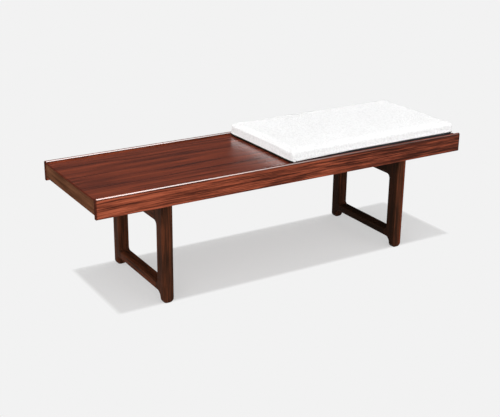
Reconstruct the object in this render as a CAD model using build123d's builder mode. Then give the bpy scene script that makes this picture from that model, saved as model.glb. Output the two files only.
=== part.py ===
from build123d import *
import math
import os

# Bench coffee table: a long tray top on two leg frames, with a loose cushion on a sliding base board.
# Millimetres. X runs along the bench, Y across it from front to back, Z up. The feet stand on Z = 0.

# Overall sizes
bench_length = 1204.0
bench_width = 360.0
rail_top_height = 343.0

# Side rails: thin planks on edge that stand above and hang below the top
rail_thickness = 10.0
rail_depth = 56.0
rail_bevel_run = 3.6
rail_bevel_drop = 2.2
rail_lower_round = 1.5
rail_end_round = 1.5

# Top: a core with veneer on both faces, lipped at each end by an end rail
lip_height = 7.0
veneer_thickness = 1.0
core_thickness = 17.0
end_rail_thickness = 20.0
end_rail_depth = 39.5
end_rail_round = 1.5
end_setback = 2.0

# Loose tongue between each side rail and the core
tongue_thickness = 4.0
tongue_in_rail = 5.0
tongue_in_core = 7.0
tongue_end_margin = 40.0
tongue_clearance = 0.1

# Leg frames, each one plane of two legs, a bearer under the top and a stretcher near the floor
frame_setback = 191.0
frame_thickness = 33.0
frame_side_gap = 7.5
leg_width = 39.0
frame_edge_round = 5.5
foot_width = 22.0
foot_arch_radius = 17.0
foot_side_round = 13.0
stretcher_bottom = 27.5
stretcher_depth = 24.5
stretcher_shoulder = 8.0
bearer_bottom = 229.0
bearer_shoulder = 12.0

# Dowels, all with the same fit in their holes
dowel_clearance = 0.1
dowel_end_gap = 0.6
dowel_chamfer = 0.8
stretcher_dowel_diameter = 8.0
stretcher_dowel_depth = 20.0
stretcher_dowel_spacing = 14.0
bearer_dowel_diameter = 10.0
bearer_dowel_depth = 24.0
bearer_dowel_spacing = 46.0
corner_dowel_diameter = 6.0
corner_dowel_in_rail = 6.0
corner_dowel_in_end = 20.0
corner_dowel_spacing = 18.0
lipping_dowel_diameter = 8.0
lipping_dowel_in_core = 18.0
lipping_dowel_in_end = 14.0
lipping_dowel_count = 4
lipping_dowel_pitch = 84.0

# Bolts that hold each leg frame to the top, in threaded inserts in the core
bolt_diameter = 6.0
bolt_head_diameter = 10.0
bolt_head_height = 6.0
bolt_socket_sides = 6
bolt_socket_across_flats = 5.0
bolt_socket_depth = 3.0
bolt_joint_distance = 41.5
bolt_counterbore_diameter = 15.0
bolt_counterbore_depth = 48.0
bolt_hole_clearance = 0.5
bolt_end_margin = 1.0
washer_diameter = 13.0
washer_thickness = 1.6
insert_diameter = 10.0
insert_length = 12.0
insert_clearance = 0.1

# Base board that lies in the tray under the cushion
board_length = 574.0
board_thickness = 9.0
board_side_gap = 4.0
board_end_gap = 22.0
board_corner_radius = 6.0
board_edge_round = 1.5

# Cushion: a box pad with a crown, sides that pull in between the corners and sewn edges
cushion_length = 600.0
cushion_side_overhang = 3.0
cushion_edge_height = 31.0
cushion_crown = 5.0
cushion_crown_reach = 100.0
cushion_overhang = 12.0
cushion_corner_radius = 16.0
cushion_corner_growth = 0.2
cushion_side_draw = 1.0
cushion_lower_round = 3.0
cushion_upper_round = 11.0
lower_round_angles = (0, 30, 60, 90)
upper_round_angles = (0, 25, 50, 75)
crown_shares = (0.1, 0.35, 0.65, 1.0)
cover_thickness = 1.6
foam_gap = 0.3
lower_seam_height = 7.0
upper_seam_height = 21.0

# Heights and places that follow from the sizes above
rail_bottom_height = rail_top_height - rail_depth
top_height = rail_top_height - lip_height
core_top = top_height - veneer_thickness
core_bottom = core_top - core_thickness
core_middle = core_bottom + core_thickness / 2
top_underside = core_bottom - veneer_thickness
rail_outer = bench_width / 2
rail_inner = rail_outer - rail_thickness
end_face = bench_length / 2 - end_setback
core_end = end_face - end_rail_thickness
end_rail_bottom = core_top - end_rail_depth
frame_outer = rail_inner - frame_side_gap
leg_inner = frame_outer - leg_width
foot_inner = frame_outer - foot_width
stretcher_joint = leg_inner - stretcher_shoulder
stretcher_top = stretcher_bottom + stretcher_depth
stretcher_middle = stretcher_bottom + stretcher_depth / 2
bearer_joint = leg_inner - bearer_shoulder
bearer_depth = top_underside - bearer_bottom
bearer_middle = bearer_bottom + bearer_depth / 2
frame_centre = bench_length / 2 - frame_setback - frame_thickness / 2
bolt_y = bearer_joint - bolt_joint_distance
bolt_seat = bearer_bottom + bolt_counterbore_depth
bolt_tip = core_bottom + insert_length - bolt_end_margin
board_right = bench_length / 2 - board_end_gap
board_middle = board_right - board_length / 2
board_width = 2 * (rail_inner - board_side_gap)
board_top = top_height + board_thickness
cushion_width = board_width + 2 * cushion_side_overhang
cushion_middle = board_right + cushion_overhang - cushion_length / 2
touch = 0.01
along_y = (90, 0, 0)
along_x = (0, 90, 0)

os.makedirs("parts", exist_ok=True)


def save(piece, name):
    """Labels a finished piece and writes it as one file."""
    piece.label = name
    export_step(piece, f"parts/{name}.step")


def mirrored(piece, plane):
    """The same piece on the other side of a plane."""
    with BuildPart() as copy:
        mirror(piece, about=plane)
    return copy.part


# Side rails, bevelled along both upper edges, with the tongue groove and the corner dowel holes
# in the inner face
tongue_length = 2 * (core_end - tongue_end_margin)
corner_dowel_x = core_end + end_rail_thickness / 2
corner_dowel_middle = end_rail_bottom + end_rail_depth / 2
corner_dowel_places = [
    (x, corner_dowel_middle + step)
    for x in (-corner_dowel_x, corner_dowel_x)
    for step in (-corner_dowel_spacing / 2, corner_dowel_spacing / 2)
]
rail_inner_face = Plane.XZ.offset(rail_inner)

with BuildPart() as front_rail:
    with BuildSketch(Plane.YZ) as rail_section:
        with BuildLine():
            Polyline(
                (-rail_inner, rail_bottom_height),
                (-rail_inner, rail_top_height - rail_bevel_drop),
                (-rail_inner - rail_bevel_run, rail_top_height),
                (-rail_outer + rail_bevel_run, rail_top_height),
                (-rail_outer, rail_top_height - rail_bevel_drop),
                (-rail_outer, rail_bottom_height),
                close=True,
            )
        make_face()
        fillet(rail_section.vertices().group_by(Axis.Y)[0], rail_lower_round)
    extrude(amount=bench_length / 2, both=True)
    fillet(front_rail.faces().filter_by(Axis.X).edges(), rail_end_round)
    with BuildSketch(rail_inner_face):
        with Locations((0, core_middle)):
            Rectangle(tongue_length + 2 * tongue_clearance, tongue_thickness + 2 * tongue_clearance)
    extrude(amount=tongue_in_rail, mode=Mode.SUBTRACT)
    with BuildSketch(rail_inner_face):
        with Locations(*corner_dowel_places):
            Circle(corner_dowel_diameter / 2 + dowel_clearance)
    extrude(amount=corner_dowel_in_rail, mode=Mode.SUBTRACT)

save(front_rail.part, "front_rail")
save(mirrored(front_rail.part, Plane.XZ), "back_rail")

# Tongues that key the side rails to the core
tongue_depth = tongue_in_rail + tongue_in_core - 2 * tongue_clearance
tongue_y = rail_inner + (tongue_in_rail - tongue_in_core) / 2

with BuildPart() as front_tongue:
    with Locations((0, -tongue_y, core_middle)):
        Box(tongue_length, tongue_depth, tongue_thickness)

save(front_tongue.part, "front_tongue")
save(mirrored(front_tongue.part, Plane.XZ), "back_tongue")

# Core of the top, grooved for the tongues and bored for lipping dowels and bolt inserts
bolt_places = [
    (x, y)
    for x in (-frame_centre, frame_centre)
    for y in (-bolt_y, bolt_y)
]
lipping_dowel_row = [
    (index - (lipping_dowel_count - 1) / 2) * lipping_dowel_pitch for index in range(lipping_dowel_count)
]

with BuildPart() as top_core:
    with Locations((0, 0, core_middle)):
        Box(2 * core_end, 2 * rail_inner, core_thickness)
    for side in (-1, 1):
        with BuildSketch(Plane.XZ.offset(side * rail_inner)):
            with Locations((0, core_middle)):
                Rectangle(tongue_length + 2 * tongue_clearance, tongue_thickness + 2 * tongue_clearance)
        extrude(amount=-side * tongue_in_core, mode=Mode.SUBTRACT)
        with BuildSketch(Plane.YZ.offset(side * core_end)):
            with Locations(*[(y, core_middle) for y in lipping_dowel_row]):
                Circle(lipping_dowel_diameter / 2 + dowel_clearance)
        extrude(amount=-side * lipping_dowel_in_core, mode=Mode.SUBTRACT)
    with BuildSketch(Plane.XY.offset(core_bottom)):
        with Locations(*bolt_places):
            Circle(insert_diameter / 2 + insert_clearance)
    extrude(amount=insert_length, mode=Mode.SUBTRACT)

save(top_core.part, "top_core")

# Veneers: the show face runs over the end rails, the balancing face only over the core
with BuildPart() as top_veneer:
    with Locations((0, 0, core_top + veneer_thickness / 2)):
        Box(2 * end_face, 2 * rail_inner, veneer_thickness)

save(top_veneer.part, "top_veneer")

with BuildPart() as underside_veneer:
    with Locations((0, 0, core_bottom - veneer_thickness / 2)):
        Box(2 * core_end, 2 * rail_inner, veneer_thickness)
    with BuildSketch(Plane.XY.offset(top_underside)):
        with Locations(*bolt_places):
            Circle(bolt_diameter / 2 + bolt_hole_clearance)
    extrude(amount=veneer_thickness, mode=Mode.SUBTRACT)

save(underside_veneer.part, "underside_veneer")

# End rails between the side rails, under the show veneer
with BuildPart() as right_end_rail:
    with Locations((core_end + end_rail_thickness / 2, 0, end_rail_bottom + end_rail_depth / 2)):
        Box(end_rail_thickness, 2 * rail_inner, end_rail_depth)
    lower_edges = right_end_rail.edges().filter_by(Axis.Y).group_by(Axis.Z)[0]
    fillet(lower_edges, end_rail_round)
    for side in (-1, 1):
        with BuildSketch(Plane.XZ.offset(side * rail_inner)):
            with Locations(*[place for place in corner_dowel_places if place[0] > 0]):
                Circle(corner_dowel_diameter / 2 + dowel_clearance)
        extrude(amount=-side * corner_dowel_in_end, mode=Mode.SUBTRACT)
    with BuildSketch(Plane.YZ.offset(core_end)):
        with Locations(*[(y, core_middle) for y in lipping_dowel_row]):
            Circle(lipping_dowel_diameter / 2 + dowel_clearance)
    extrude(amount=lipping_dowel_in_end, mode=Mode.SUBTRACT)

save(right_end_rail.part, "right_end_rail")
save(mirrored(right_end_rail.part, Plane.YZ), "left_end_rail")

# Dowels of the top
corner_dowel_length = corner_dowel_in_rail + corner_dowel_in_end - 2 * dowel_end_gap
corner_dowel_y = rail_inner + (corner_dowel_in_rail - corner_dowel_in_end) / 2

with BuildPart() as corner_dowels:
    with Locations(*[(x, side * corner_dowel_y, z) for side in (-1, 1) for x, z in corner_dowel_places]):
        Cylinder(corner_dowel_diameter / 2, corner_dowel_length, rotation=along_y)
    chamfer(corner_dowels.edges().filter_by(GeomType.CIRCLE), dowel_chamfer)

save(corner_dowels.part, "corner_dowels")

lipping_dowel_length = lipping_dowel_in_core + lipping_dowel_in_end - 2 * dowel_end_gap
lipping_dowel_x = core_end + (lipping_dowel_in_end - lipping_dowel_in_core) / 2
lipping_dowel_places = [
    (side * lipping_dowel_x, y, core_middle)
    for side in (-1, 1)
    for y in lipping_dowel_row
]

with BuildPart() as lipping_dowels:
    with Locations(*lipping_dowel_places):
        Cylinder(lipping_dowel_diameter / 2, lipping_dowel_length, rotation=along_x)
    chamfer(lipping_dowels.edges().filter_by(GeomType.CIRCLE), dowel_chamfer)

save(lipping_dowels.part, "lipping_dowels")

# Legs: the foot with its rounded sides, the shoulders for the stretcher and the bearer, and the hollow
# curves between them
stretcher_dowel_row = [
    (-frame_centre + step, stretcher_middle)
    for step in (-stretcher_dowel_spacing / 2, stretcher_dowel_spacing / 2)
]
bearer_dowel_row = [
    (-frame_centre, bearer_middle + step)
    for step in (-bearer_dowel_spacing / 2, bearer_dowel_spacing / 2)
]


def is_open_edge(edge):
    """True for an outline edge of a leg that shows, False where the foot rounds, at a joint or on top."""
    middle = edge.center()
    at_foot = abs(middle.Z - foot_side_round) < touch
    at_top = abs(middle.Z - top_underside) < touch
    at_stretcher = abs(abs(middle.Y) - stretcher_joint) < touch
    at_bearer = abs(abs(middle.Y) - bearer_joint) < touch
    return not (at_foot or at_top or at_stretcher or at_bearer)


with BuildPart() as left_front_leg:
    with BuildSketch(Plane.YZ.offset(-frame_centre - frame_thickness / 2)):
        with BuildLine():
            Line((-frame_outer, top_underside), (-frame_outer, 0))
            Line((-frame_outer, 0), (-foot_inner, 0))
            arch_start = (-foot_inner, stretcher_bottom - foot_arch_radius)
            arch_end = (-foot_inner + foot_arch_radius, stretcher_bottom)
            Line((-foot_inner, 0), arch_start)
            TangentArc(arch_start, arch_end, tangent=(0, 1))
            Line(arch_end, (-stretcher_joint, stretcher_bottom))
            Line((-stretcher_joint, stretcher_bottom), (-stretcher_joint, stretcher_top))
            lower_curve_end = (-leg_inner, stretcher_top + stretcher_shoulder)
            TangentArc((-stretcher_joint, stretcher_top), lower_curve_end, tangent=(-1, 0))
            upper_curve_start = (-leg_inner, bearer_bottom - bearer_shoulder)
            Line(lower_curve_end, upper_curve_start)
            TangentArc(upper_curve_start, (-bearer_joint, bearer_bottom), tangent=(0, 1))
            Line((-bearer_joint, bearer_bottom), (-bearer_joint, top_underside))
            Line((-bearer_joint, top_underside), (-frame_outer, top_underside))
        make_face()
    extrude(amount=frame_thickness)
    with BuildSketch(Plane.XZ.offset(frame_outer)) as leg_front:
        with Locations((-frame_centre, top_underside / 2)):
            Rectangle(frame_thickness, top_underside)
        fillet(leg_front.vertices().group_by(Axis.Y)[0], foot_side_round)
    extrude(amount=bearer_joint - frame_outer, mode=Mode.INTERSECT)
    fillet(left_front_leg.faces().filter_by(Axis.X).edges().filter_by(is_open_edge), frame_edge_round)
    with BuildSketch(Plane.XZ.offset(stretcher_joint)):
        with Locations(*stretcher_dowel_row):
            Circle(stretcher_dowel_diameter / 2 + dowel_clearance)
    extrude(amount=stretcher_dowel_depth, mode=Mode.SUBTRACT)
    with BuildSketch(Plane.XZ.offset(bearer_joint)):
        with Locations(*bearer_dowel_row):
            Circle(bearer_dowel_diameter / 2 + dowel_clearance)
    extrude(amount=bearer_dowel_depth, mode=Mode.SUBTRACT)

left_back_leg = mirrored(left_front_leg.part, Plane.XZ)
save(left_front_leg.part, "left_front_leg")
save(left_back_leg, "left_back_leg")
save(mirrored(left_front_leg.part, Plane.YZ), "right_front_leg")
save(mirrored(left_back_leg, Plane.YZ), "right_back_leg")

# Stretchers near the floor
with BuildPart() as left_stretcher:
    with Locations((-frame_centre, 0, stretcher_middle)):
        Box(frame_thickness, 2 * stretcher_joint, stretcher_depth)
    fillet(left_stretcher.edges().filter_by(Axis.Y), frame_edge_round)
    for side in (-1, 1):
        with BuildSketch(Plane.XZ.offset(side * stretcher_joint)):
            with Locations(*stretcher_dowel_row):
                Circle(stretcher_dowel_diameter / 2 + dowel_clearance)
        extrude(amount=-side * stretcher_dowel_depth, mode=Mode.SUBTRACT)

save(left_stretcher.part, "left_stretcher")
save(mirrored(left_stretcher.part, Plane.YZ), "right_stretcher")

# Bearers under the top, counterbored from below for the bolts
left_bolt_places = [place for place in bolt_places if place[0] < 0]

with BuildPart() as left_bearer:
    with Locations((-frame_centre, 0, bearer_middle)):
        Box(frame_thickness, 2 * bearer_joint, bearer_depth)
    fillet(left_bearer.edges().filter_by(Axis.Y).group_by(Axis.Z)[0], frame_edge_round)
    for side in (-1, 1):
        with BuildSketch(Plane.XZ.offset(side * bearer_joint)):
            with Locations(*bearer_dowel_row):
                Circle(bearer_dowel_diameter / 2 + dowel_clearance)
        extrude(amount=-side * bearer_dowel_depth, mode=Mode.SUBTRACT)
    with BuildSketch(Plane.XY.offset(bearer_bottom)):
        with Locations(*left_bolt_places):
            Circle(bolt_counterbore_diameter / 2)
    extrude(amount=bolt_counterbore_depth, mode=Mode.SUBTRACT)
    with BuildSketch(Plane.XY.offset(bolt_seat)):
        with Locations(*left_bolt_places):
            Circle(bolt_diameter / 2 + bolt_hole_clearance)
    extrude(amount=top_underside - bolt_seat, mode=Mode.SUBTRACT)

save(left_bearer.part, "left_bearer")
save(mirrored(left_bearer.part, Plane.YZ), "right_bearer")

# Dowels of the leg frames
stretcher_dowel_places = [
    (mirror_x * x, side * stretcher_joint, z)
    for mirror_x in (-1, 1)
    for side in (-1, 1)
    for x, z in stretcher_dowel_row
]

stretcher_dowel_length = 2 * (stretcher_dowel_depth - dowel_end_gap)

with BuildPart() as stretcher_dowels:
    with Locations(*stretcher_dowel_places):
        Cylinder(stretcher_dowel_diameter / 2, stretcher_dowel_length, rotation=along_y)
    chamfer(stretcher_dowels.edges().filter_by(GeomType.CIRCLE), dowel_chamfer)

save(stretcher_dowels.part, "stretcher_dowels")

bearer_dowel_places = [
    (mirror_x * x, side * bearer_joint, z)
    for mirror_x in (-1, 1)
    for side in (-1, 1)
    for x, z in bearer_dowel_row
]

bearer_dowel_length = 2 * (bearer_dowel_depth - dowel_end_gap)

with BuildPart() as bearer_dowels:
    with Locations(*bearer_dowel_places):
        Cylinder(bearer_dowel_diameter / 2, bearer_dowel_length, rotation=along_y)
    chamfer(bearer_dowels.edges().filter_by(GeomType.CIRCLE), dowel_chamfer)

save(bearer_dowels.part, "bearer_dowels")

# Bolts, washers and threaded inserts between the bearers and the core
bolt_head_top = bolt_seat - washer_thickness
bolt_head_bottom = bolt_head_top - bolt_head_height

with BuildPart() as frame_bolts:
    with BuildSketch(Plane.XY.offset(bolt_head_bottom)):
        with Locations(*bolt_places):
            Circle(bolt_head_diameter / 2)
    extrude(amount=bolt_head_height)
    with BuildSketch(Plane.XY.offset(bolt_head_top)):
        with Locations(*bolt_places):
            Circle(bolt_diameter / 2)
    extrude(amount=bolt_tip - bolt_head_top)
    with BuildSketch(Plane.XY.offset(bolt_head_bottom)):
        with Locations(*bolt_places):
            RegularPolygon(bolt_socket_across_flats / 2, bolt_socket_sides, major_radius=False)
    extrude(amount=bolt_socket_depth, mode=Mode.SUBTRACT)

save(frame_bolts.part, "frame_bolts")

with BuildPart() as bolt_washers:
    with BuildSketch(Plane.XY.offset(bolt_head_top)):
        with Locations(*bolt_places):
            Circle(washer_diameter / 2)
            Circle(bolt_diameter / 2 + insert_clearance, mode=Mode.SUBTRACT)
    extrude(amount=washer_thickness)

save(bolt_washers.part, "bolt_washers")

with BuildPart() as bolt_inserts:
    with BuildSketch(Plane.XY.offset(core_bottom)):
        with Locations(*bolt_places):
            Circle(insert_diameter / 2)
            Circle(bolt_diameter / 2 + insert_clearance, mode=Mode.SUBTRACT)
    extrude(amount=insert_length)

save(bolt_inserts.part, "bolt_inserts")

# Base board in the tray
with BuildPart() as base_board:
    with BuildSketch(Plane.XY.offset(top_height)):
        with Locations((board_middle, 0)):
            RectangleRounded(board_length, board_width, board_corner_radius)
    extrude(amount=board_thickness)
    fillet(base_board.faces().sort_by(Axis.Z)[-1].edges(), board_edge_round)

save(base_board.part, "base_board")


# Cushion: plan outlines stacked in height, drawn in along the sides and closing over the crown
def cushion_levels():
    """Height above the base board and inset of each plan outline, from the bottom up."""
    lower = cushion_lower_round
    upper = cushion_upper_round
    shoulder = cushion_edge_height - upper
    levels = []
    for angle in lower_round_angles:
        turn = math.radians(angle)
        levels.append((lower * (1 - math.cos(turn)), lower * (1 - math.sin(turn))))
    for angle in upper_round_angles:
        turn = math.radians(angle)
        levels.append((shoulder + upper * math.sin(turn), upper * (1 - math.cos(turn))))
    for share in crown_shares:
        rise = cushion_crown * (1 - (1 - share) ** 2)
        levels.append((cushion_edge_height + rise, upper + share * cushion_crown_reach))
    return levels


def cushion_form(shrink):
    """The cushion's crowned solid, every face moved in by the same amount."""
    with BuildPart() as form:
        for height, inset in cushion_levels():
            share = height / (cushion_edge_height + cushion_crown)
            level = board_top + shrink + height - 2 * shrink * share
            half_length = cushion_length / 2 - inset - shrink
            half_width = cushion_width / 2 - inset - shrink
            corner = cushion_corner_radius + cushion_corner_growth * inset - shrink
            right = cushion_middle + half_length
            left = cushion_middle - half_length
            drawn_width = half_width - cushion_side_draw
            with BuildSketch(Plane.XY.offset(level)) as outline:
                with BuildLine(Plane.XY):
                    ThreePointArc((left, -half_width), (cushion_middle, -drawn_width), (right, -half_width))
                    ThreePointArc((right, -half_width), (right - cushion_side_draw, 0), (right, half_width))
                    ThreePointArc((right, half_width), (cushion_middle, drawn_width), (left, half_width))
                    ThreePointArc((left, half_width), (left + cushion_side_draw, 0), (left, -half_width))
                make_face()
                fillet(outline.vertices(), corner)
        loft(ruled=True)
    return form.part


cushion_outside = cushion_form(0)
cushion_inside = cushion_form(cover_thickness)
seam_planes = [Plane.XY.offset(board_top + height) for height in (lower_seam_height, upper_seam_height)]

with BuildPart() as cushion_foam:
    add(cushion_form(cover_thickness + foam_gap))

save(cushion_foam.part, "cushion_foam")

with BuildPart() as cushion_bottom_cover:
    add(cushion_outside)
    add(cushion_inside, mode=Mode.SUBTRACT)
    split(bisect_by=seam_planes[0], keep=Keep.BOTTOM)

save(cushion_bottom_cover.part, "cushion_bottom_cover")

with BuildPart() as cushion_border:
    add(cushion_outside)
    add(cushion_inside, mode=Mode.SUBTRACT)
    split(bisect_by=seam_planes[0], keep=Keep.TOP)
    split(bisect_by=seam_planes[1], keep=Keep.BOTTOM)

save(cushion_border.part, "cushion_border")

with BuildPart() as cushion_top_cover:
    add(cushion_outside)
    add(cushion_inside, mode=Mode.SUBTRACT)
    split(bisect_by=seam_planes[1], keep=Keep.TOP)

save(cushion_top_cover.part, "cushion_top_cover")
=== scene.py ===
import logging
import math
from dataclasses import dataclass, field, replace
from enum import Enum
from typing import Any, Protocol

import bmesh
import bpy
from mathutils import Matrix, Vector


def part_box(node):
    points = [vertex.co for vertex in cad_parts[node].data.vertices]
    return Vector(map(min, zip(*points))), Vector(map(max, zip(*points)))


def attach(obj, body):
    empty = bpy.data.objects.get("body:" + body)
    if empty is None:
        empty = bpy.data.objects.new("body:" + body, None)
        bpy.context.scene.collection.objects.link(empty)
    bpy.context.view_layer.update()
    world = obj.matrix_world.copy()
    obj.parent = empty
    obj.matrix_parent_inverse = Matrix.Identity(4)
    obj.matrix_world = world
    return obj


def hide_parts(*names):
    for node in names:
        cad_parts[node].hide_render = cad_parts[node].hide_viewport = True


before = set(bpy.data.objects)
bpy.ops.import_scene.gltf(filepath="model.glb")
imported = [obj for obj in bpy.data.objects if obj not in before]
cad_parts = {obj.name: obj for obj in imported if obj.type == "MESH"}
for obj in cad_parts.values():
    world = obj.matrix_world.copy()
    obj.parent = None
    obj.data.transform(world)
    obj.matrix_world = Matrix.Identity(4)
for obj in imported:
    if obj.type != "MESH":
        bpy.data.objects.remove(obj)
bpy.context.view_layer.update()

log = logging.getLogger("bench_table")

Colour = tuple[float, float, float]
Point = tuple[float, float, float]
Span = tuple[float, float]
Stops = tuple[tuple[float, Colour], ...]

# Sockets of the Mix node in colour mode, which share their names with other modes
MIX_SHARE, MIX_FIRST, MIX_SECOND, MIX_RESULT = 0, 6, 7, 2
# Socket of the Vector Math node that holds the number of a scaling
VECTOR_SCALE = 3


def rgba(colour: Colour) -> tuple[float, float, float, float]:
    """The colour with full alpha, as a colour socket takes it."""
    return (*colour, 1.0)


class Signal:
    """A shader value that adds a Math node for each operation on it."""

    def __init__(self, graph: "NodeGraph", socket: bpy.types.NodeSocket) -> None:
        """Wraps one output socket of a node in the graph."""
        self.graph = graph
        self.socket = socket

    def out(self, name: str) -> "Signal":
        """Another output of the same node."""
        return Signal(self.graph, self.socket.node.outputs[name])

    def _math(self, operation: str, first: Any, second: Any = 0.0) -> "Signal":
        """One Math node on two values."""
        return self.graph.node("ShaderNodeMath", {"operation": operation}, {0: first, 1: second})

    def __add__(self, other: Any) -> "Signal":
        """Sum of two values."""
        return self._math("ADD", self, other)

    def __radd__(self, other: Any) -> "Signal":
        """Sum with a plain number on the left."""
        return self._math("ADD", other, self)

    def __sub__(self, other: Any) -> "Signal":
        """Difference of two values."""
        return self._math("SUBTRACT", self, other)

    def __rsub__(self, other: Any) -> "Signal":
        """Difference from a plain number on the left."""
        return self._math("SUBTRACT", other, self)

    def __mul__(self, other: Any) -> "Signal":
        """Product of two values."""
        return self._math("MULTIPLY", self, other)

    def __rmul__(self, other: Any) -> "Signal":
        """Product with a plain number on the left."""
        return self._math("MULTIPLY", other, self)

    def __neg__(self) -> "Signal":
        """The value with its sign turned."""
        return self._math("MULTIPLY", self, -1.0)

    def __abs__(self) -> "Signal":
        """Size of a value without its sign."""
        return self._math("ABSOLUTE", self)

    def sine(self) -> "Signal":
        """Sine of a value in radians."""
        return self._math("SINE", self)

    def at_least(self, other: Any) -> "Signal":
        """The larger of two values."""
        return self._math("MAXIMUM", self, other)

    def step(self, low: float, high: float) -> "Signal":
        """A smooth step from 0 at low to 1 at high."""
        return self.graph.node(
            "ShaderNodeMapRange",
            {"interpolation_type": "SMOOTHSTEP"},
            {"Value": self, "From Min": low, "From Max": high},
        )


Axes = tuple[Signal, Signal, Signal]


class NodeGraph:
    """The node tree of one material or of the world."""

    def __init__(self, tree: bpy.types.NodeTree) -> None:
        """Starts from an empty tree."""
        self.tree = tree
        self.tree.nodes.clear()

    def node(
        self,
        kind: str,
        settings: dict[str, Any] | None = None,
        inputs: dict[Any, Any] | None = None,
        output: int = 0,
    ) -> Signal | None:
        """Adds one node.

        Args:
            kind: The node's type.
            settings: Its properties, set first. "stops" fills a colour ramp.
            inputs: Values or links of its input sockets, by name or index.
            output: Which output is wrapped.

        Returns:
            The wrapped output, or None where the node has no outputs.
        """
        made = self.tree.nodes.new(kind)
        for name, value in (settings or {}).items():
            if name == "stops":
                self._fill_ramp(made.color_ramp, value)
            else:
                setattr(made, name, value)
        for name, value in (inputs or {}).items():
            if isinstance(value, Signal):
                self.tree.links.new(value.socket, made.inputs[name])
            else:
                made.inputs[name].default_value = value
        return Signal(self, made.outputs[output]) if len(made.outputs) else None

    @staticmethod
    def _fill_ramp(ramp: bpy.types.ColorRamp, stops: Stops) -> None:
        """Gives a colour ramp its stops.

        Args:
            ramp: The ramp of a new node, which starts with two stops.
            stops: At least two places from 0 to 1 with their colours, in order.
        """
        while len(ramp.elements) < len(stops):
            ramp.elements.new(1.0)
        for element, (place, colour) in zip(ramp.elements, stops):
            element.position = place
            element.color = rgba(colour)

    def ramp(self, value: Signal, stops: Stops) -> Signal:
        """A colour picked by a value."""
        return self.node("ShaderNodeValToRGB", {"stops": stops}, {"Fac": value})

    def mix(self, share: Any, first: Any, second: Any) -> Signal:
        """Two colours mixed by a share."""
        inputs = {MIX_SHARE: share, MIX_FIRST: first, MIX_SECOND: second}
        return self.node("ShaderNodeMix", {"data_type": "RGBA"}, inputs, output=MIX_RESULT)

    def point(self, x: Any, y: Any, z: Any) -> Signal:
        """A vector made from three values."""
        return self.node("ShaderNodeCombineXYZ", None, {0: x, 1: y, 2: z})

    def axes(self, vector: Signal) -> Axes:
        """The three values of a vector."""
        parts = self.node("ShaderNodeSeparateXYZ", None, {0: vector})
        return parts, parts.out("Y"), parts.out("Z")

    def scaled(self, vector: Signal, count: float) -> Signal:
        """A vector times one number."""
        return self.node("ShaderNodeVectorMath", {"operation": "SCALE"}, {0: vector, VECTOR_SCALE: count})

    def stretched(self, grain: Axes, counts: Span) -> Signal:
        """A point scaled by one count along the grain and by another across it."""
        along, across, depth = grain
        return self.point(along * counts[0], across * counts[1], depth * counts[1])

    def place(self) -> Signal:
        """The point on the object, in metres of the shared frame."""
        return self.node("ShaderNodeTexCoord").out("Object")

    def noise(self, vector: Signal, detail: float = 2.0, roughness: float = 0.5) -> Signal:
        """Soft noise at a point that is already scaled."""
        inputs = {"Vector": vector, "Scale": 1.0, "Detail": detail, "Roughness": roughness}
        return self.node("ShaderNodeTexNoise", None, inputs)

    def line_noise(self, value: Signal, detail: float = 2.0, roughness: float = 0.5) -> Signal:
        """Soft noise along one value."""
        inputs = {"W": value, "Scale": 1.0, "Detail": detail, "Roughness": roughness}
        return self.node("ShaderNodeTexNoise", {"noise_dimensions": "1D"}, inputs)

    def bump(self, height: Signal, relief: Span) -> Signal:
        """A normal that follows a height, by the relief's distance in metres and strength."""
        inputs = {"Height": height, "Distance": relief[0], "Strength": relief[1]}
        return self.node("ShaderNodeBump", None, inputs)

    def surface(self, inputs: dict[str, Any]) -> None:
        """Ends the material with a Principled shader."""
        shader = self.node("ShaderNodeBsdfPrincipled", None, inputs)
        self.node("ShaderNodeOutputMaterial", None, {"Surface": shader})


def new_material(name: str) -> tuple[bpy.types.Material, NodeGraph]:
    """An empty node material.

    Args:
        name: The material's name.

    Returns:
        The material and its graph.
    """
    material = bpy.data.materials.new(name)
    material.use_nodes = True
    return material, NodeGraph(material.node_tree)


class Finish(Protocol):
    """Anything that can build the material of a piece."""

    def material(self) -> bpy.types.Material:
        """Builds the material."""


class GrainAxis(Enum):
    """The way the grain runs: order of the along, across and depth axes."""

    LENGTH = (0, 1, 2)
    CROSS = (1, 0, 2)
    UPRIGHT = (2, 0, 1)


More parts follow.
